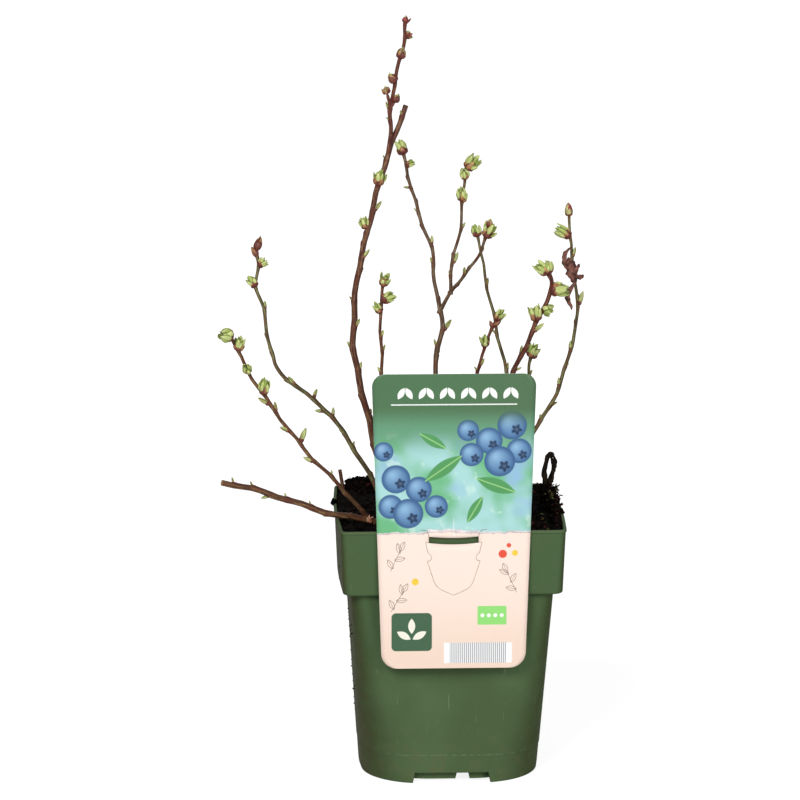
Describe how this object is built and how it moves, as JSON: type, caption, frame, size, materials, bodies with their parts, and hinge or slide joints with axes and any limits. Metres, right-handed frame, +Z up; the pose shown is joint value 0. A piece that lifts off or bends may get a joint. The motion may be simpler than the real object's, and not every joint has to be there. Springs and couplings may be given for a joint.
{
  "type": "potted blueberry bush",
  "caption": "Young blueberry bush in a square green nursery pot, bare shoots with opening buds, peat and a card label hooked over the rim.",
  "frame": {"origin": "on the floor under the middle of the pot", "axes": "+Z up the plant, +Y to the back, so that the label faces -Y; +X to the right of the label"},
  "size_m": [0.2136, 0.1331, 0.4415],
  "materials": {
    "pot": "moulded, satin",
    "peat": "moist, crumbly",
    "card": "printed, satin",
    "red_bark": "smooth young bark",
    "green_bark": "smooth young bark",
    "buds": "soft bud scales",
    "withered": "dry, papery"
  },
  "bodies": {
    "root": {"pot": "pot", "soil": "peat", "label_card": "card", "short_stem": "red_bark", "tall_shoot": "red_bark", "low_cut_shoot": "red_bark", "outer_left_shoot": "red_bark", "short_left_shoot": "red_bark", "short_right_shoot": "red_bark", "dark_right_shoot": "red_bark", "stubby_shoot": "red_bark", "cut_stub": "red_bark", "left_green_shoot": "green_bark", "forked_shoot": "green_bark", "fork_left_bough": "green_bark", "fork_right_bough": "green_bark", "fork_middle_bough": "green_bark", "fork_outer_bough": "green_bark", "middle_green_shoot": "green_bark", "right_green_shoot": "green_bark", "tall_spray": "buds", "left_green_spray": "buds", "outer_left_spray": "buds", "short_left_spray": "buds", "fork_left_spray": "buds", "fork_middle_spray": "buds", "fork_outer_spray": "buds", "middle_green_spray": "buds", "short_right_spray": "buds", "dark_right_spray": "buds", "right_green_spray": "buds", "stubby_spray": "buds", "withered_shoot": "withered", "withered_leaf": "withered"}
  },
  "joints": []
}
